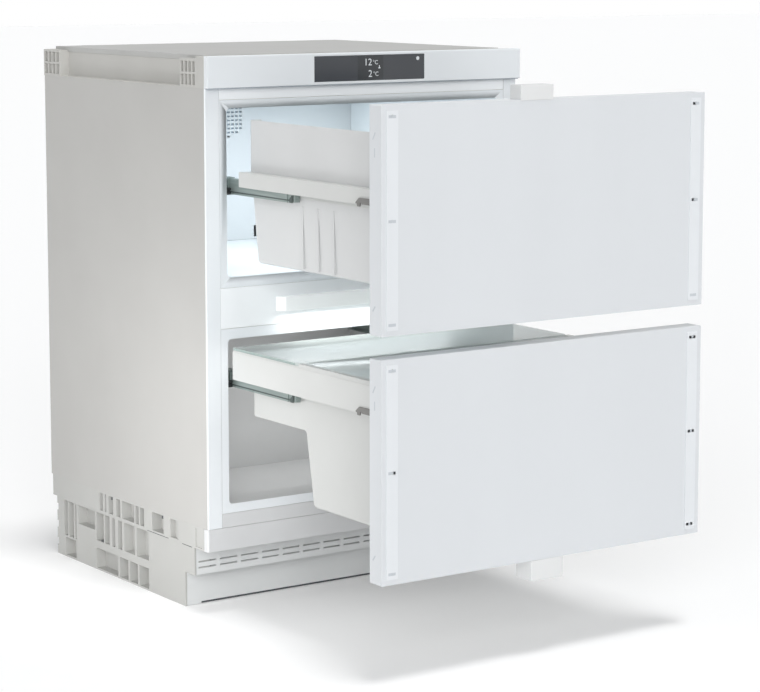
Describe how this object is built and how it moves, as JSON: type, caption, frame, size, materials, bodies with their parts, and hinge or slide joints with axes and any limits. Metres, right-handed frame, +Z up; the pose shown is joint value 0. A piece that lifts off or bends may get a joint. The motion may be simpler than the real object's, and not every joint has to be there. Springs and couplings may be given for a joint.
{
  "type": "undercounter drawer refrigerator",
  "caption": "Undercounter built-in refrigerator with an upper and a lower pull-out drawer, both shown open, on a ribbed base with levelling feet.",
  "frame": {"origin": "on the floor plane, under the middle of the cabinet body", "axes": "+X to the viewer's right, +Y to the back of the cabinet, +Z up; the drawers pull out along -Y"},
  "size_m": [0.597, 0.9959, 0.87],
  "materials": {
    "shell_steel": "satin warm grey coat",
    "back_steel": "galvanised sheet with a grey coat",
    "foam": "closed-cell foam skin",
    "upper_lining": "smooth white moulding",
    "lower_lining": "smooth white moulding",
    "front_frame": "satin white coat",
    "lamp": "translucent white diffuser",
    "head_plastic": "fine-grained grey moulding",
    "top_steel": "satin warm grey coat",
    "fascia": "satin white moulding",
    "display_glass": "dark smooth window",
    "cover_plastic": "satin white moulding",
    "fin_aluminium": "mill finish",
    "motor_plastic": "satin dark moulding",
    "fan_plastic": "satin pale moulding",
    "dark_fan": "satin black moulding",
    "compressor_paint": "black coat",
    "tray_plastic": "satin pale moulding",
    "condenser_steel": "grey coat on fins and tube",
    "base_steel": "galvanised sheet",
    "carrier_plastic": "satin grey-white moulding",
    "plinth_plastic": "satin grey-white moulding",
    "foot_plastic": "dark moulding",
    "rail_steel": "zinc-plated steel with a green-grey tone",
    "door_steel": "smooth white coat",
    "door_lining": "smooth white moulding",
    "gasket": "soft pale grey profile",
    "strip": "smooth white coat",
    "guide_plastic": "satin pale grey moulding",
    "drawer_plastic": "satin grey-white moulding",
    "arm_plastic": "dark grey moulding",
    "bin_plastic": "smooth grey-white moulding",
    "shelf_glass": "clear glass with a green edge"
  },
  "bodies": {
    "cabinet": {"side_panel_left": "shell_steel", "side_panel_right": "shell_steel", "back_panel": "back_steel", "bottom_sheet": "base_steel", "insulation_foam": "foam", "upper_liner": "upper_lining", "lower_liner": "lower_lining", "upper_crossrail": "front_frame", "divider_cover": "front_frame", "lower_crossrail": "front_frame", "base_front_rail": "front_frame", "divider_lamp": "lamp", "top_frame": "head_plastic", "top_plate": "top_steel", "fascia": "fascia", "display_module": "display_glass", "air_cover": "cover_plastic", "evaporator": "fin_aluminium", "evaporator_fan_motor": "motor_plastic", "compressor": "compressor_paint", "drip_tray": "tray_plastic", "condenser": "condenser_steel", "condenser_fan_motor": "motor_plastic", "base_tray": "base_steel", "base_carrier_left": "carrier_plastic", "base_carrier_right": "carrier_plastic", "plinth_grille": "plinth_plastic", "plinth_panel": "plinth_plastic", "upper_outer_rails": "rail_steel", "lower_outer_rails": "rail_steel"},
    "upper_drawer": {"upper_door_panel": "door_steel", "upper_door_foam": "foam", "upper_door_liner": "door_lining", "upper_door_gasket": "gasket", "upper_door_strips": "strip", "upper_guide_block": "guide_plastic", "upper_frame": "drawer_plastic", "upper_arms": "arm_plastic", "upper_inner_rails": "rail_steel", "upper_bin": "bin_plastic"},
    "lower_drawer": {"lower_door_panel": "door_steel", "lower_door_foam": "foam", "lower_door_liner": "door_lining", "lower_door_gasket": "gasket", "lower_door_strips": "strip", "lower_guide_block": "guide_plastic", "lower_frame": "drawer_plastic", "lower_arms": "arm_plastic", "lower_inner_rails": "rail_steel", "lower_bin": "bin_plastic", "glass_plate": "shelf_glass"},
    "upper_runner": {"upper_middle_rails": "rail_steel"},
    "lower_runner": {"lower_middle_rails": "rail_steel"},
    "evaporator_fan": {"evaporator_impeller": "fan_plastic"},
    "condenser_fan": {"condenser_impeller": "dark_fan"},
    "foot_front_left": {"foot_front_left": "foot_plastic"},
    "foot_front_right": {"foot_front_right": "foot_plastic"},
    "foot_rear_left": {"foot_rear_left": "foot_plastic"},
    "foot_rear_right": {"foot_rear_right": "foot_plastic"}
  },
  "joints": [
    {"name": "upper_drawer_slide", "type": "slide", "parent": "cabinet", "child": "upper_drawer", "axis": [0, -1, 0], "range_m": [-0.427, 0]},
    {"name": "lower_drawer_slide", "type": "slide", "parent": "cabinet", "child": "lower_drawer", "axis": [0, -1, 0], "range_m": [-0.427, 0]},
    {"name": "upper_runner_slide", "type": "slide", "parent": "cabinet", "child": "upper_runner", "axis": [0, -1, 0], "range_m": [-0.1708, 0]},
    {"name": "lower_runner_slide", "type": "slide", "parent": "cabinet", "child": "lower_runner", "axis": [0, -1, 0], "range_m": [-0.1708, 0]},
    {"name": "evaporator_fan_spin", "type": "hinge", "parent": "cabinet", "child": "evaporator_fan", "pos_m": [0, 0.178, 0.735], "axis": [0, 1, 0], "continuous": true},
    {"name": "condenser_fan_spin", "type": "hinge", "parent": "cabinet", "child": "condenser_fan", "pos_m": [-0.142, -0.079, 0.052], "axis": [0, 1, 0], "continuous": true},
    {"name": "foot_front_left_height", "type": "slide", "parent": "cabinet", "child": "foot_front_left", "axis": [0, 0, -1], "range_m": [0, 0.05]},
    {"name": "foot_front_right_height", "type": "slide", "parent": "cabinet", "child": "foot_front_right", "axis": [0, 0, -1], "range_m": [0, 0.05]},
    {"name": "foot_rear_left_height", "type": "slide", "parent": "cabinet", "child": "foot_rear_left", "axis": [0, 0, -1], "range_m": [0, 0.05]},
    {"name": "foot_rear_right_height", "type": "slide", "parent": "cabinet", "child": "foot_rear_right", "axis": [0, 0, -1], "range_m": [0, 0.05]}
  ],
  "couplings": [
    {"joint": "upper_runner_slide", "follows": "upper_drawer_slide", "ratio": 0.4},
    {"joint": "lower_runner_slide", "follows": "lower_drawer_slide", "ratio": 0.4}
  ]
}
